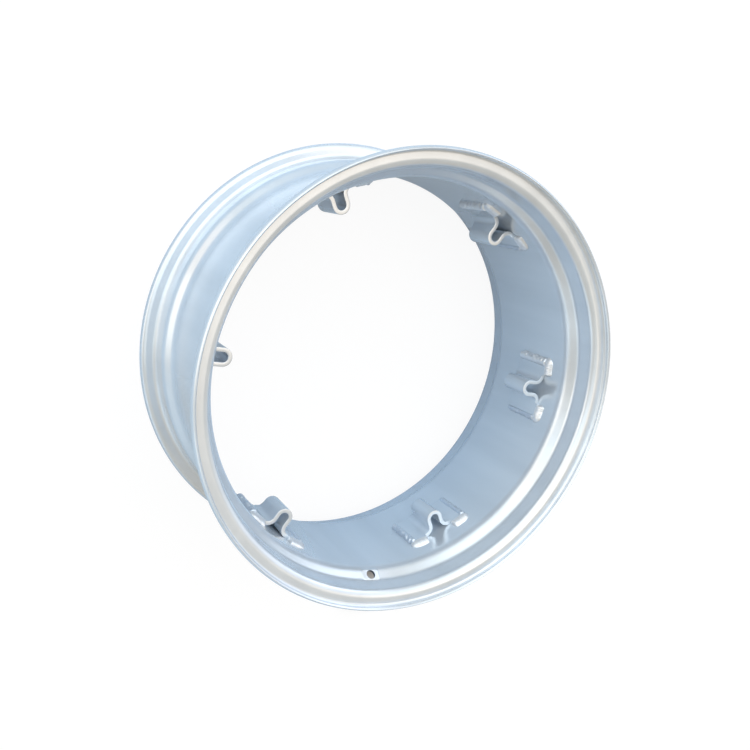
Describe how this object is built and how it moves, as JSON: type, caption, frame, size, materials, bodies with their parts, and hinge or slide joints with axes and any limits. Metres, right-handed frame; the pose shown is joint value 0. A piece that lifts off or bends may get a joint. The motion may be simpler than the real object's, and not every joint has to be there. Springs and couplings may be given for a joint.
{
  "type": "tractor wheel rim",
  "caption": "Silver steel wheel rim for a farm tractor, with a drop well, two curled flanges, welded bolt loops round the inside and a valve hole in a pressed pad.",
  "frame": {"origin": "centre of the rim: on the wheel's axis, at the middle of the rim's width", "axes": "+Z along the wheel's axis, towards the side with the valve hole; +X through the middle of the first loop; the valve hole is towards -Y. The rim lies on its lower flange."},
  "size_m": [0.762, 0.762, 0.3412],
  "materials": {
    "rim_paint": "glossy silver paint on rolled steel",
    "loop_paint": "glossy silver paint on bent steel strip",
    "weld_paint": "glossy silver paint over rippled weld beads"
  },
  "bodies": {
    "root": {"rim": "rim_paint", "loop_1": "loop_paint", "loop_2": "loop_paint", "loop_3": "loop_paint", "loop_4": "loop_paint", "loop_5": "loop_paint", "loop_6": "loop_paint", "front_weld_1a": "weld_paint", "end_weld_1a": "weld_paint", "front_weld_1b": "weld_paint", "end_weld_1b": "weld_paint", "front_weld_2a": "weld_paint", "end_weld_2a": "weld_paint", "front_weld_2b": "weld_paint", "end_weld_2b": "weld_paint", "front_weld_3a": "weld_paint", "end_weld_3a": "weld_paint", "front_weld_3b": "weld_paint", "end_weld_3b": "weld_paint", "front_weld_4a": "weld_paint", "end_weld_4a": "weld_paint", "front_weld_4b": "weld_paint", "end_weld_4b": "weld_paint", "front_weld_5a": "weld_paint", "end_weld_5a": "weld_paint", "front_weld_5b": "weld_paint", "end_weld_5b": "weld_paint", "front_weld_6a": "weld_paint", "end_weld_6a": "weld_paint", "front_weld_6b": "weld_paint", "end_weld_6b": "weld_paint"}
  },
  "joints": []
}
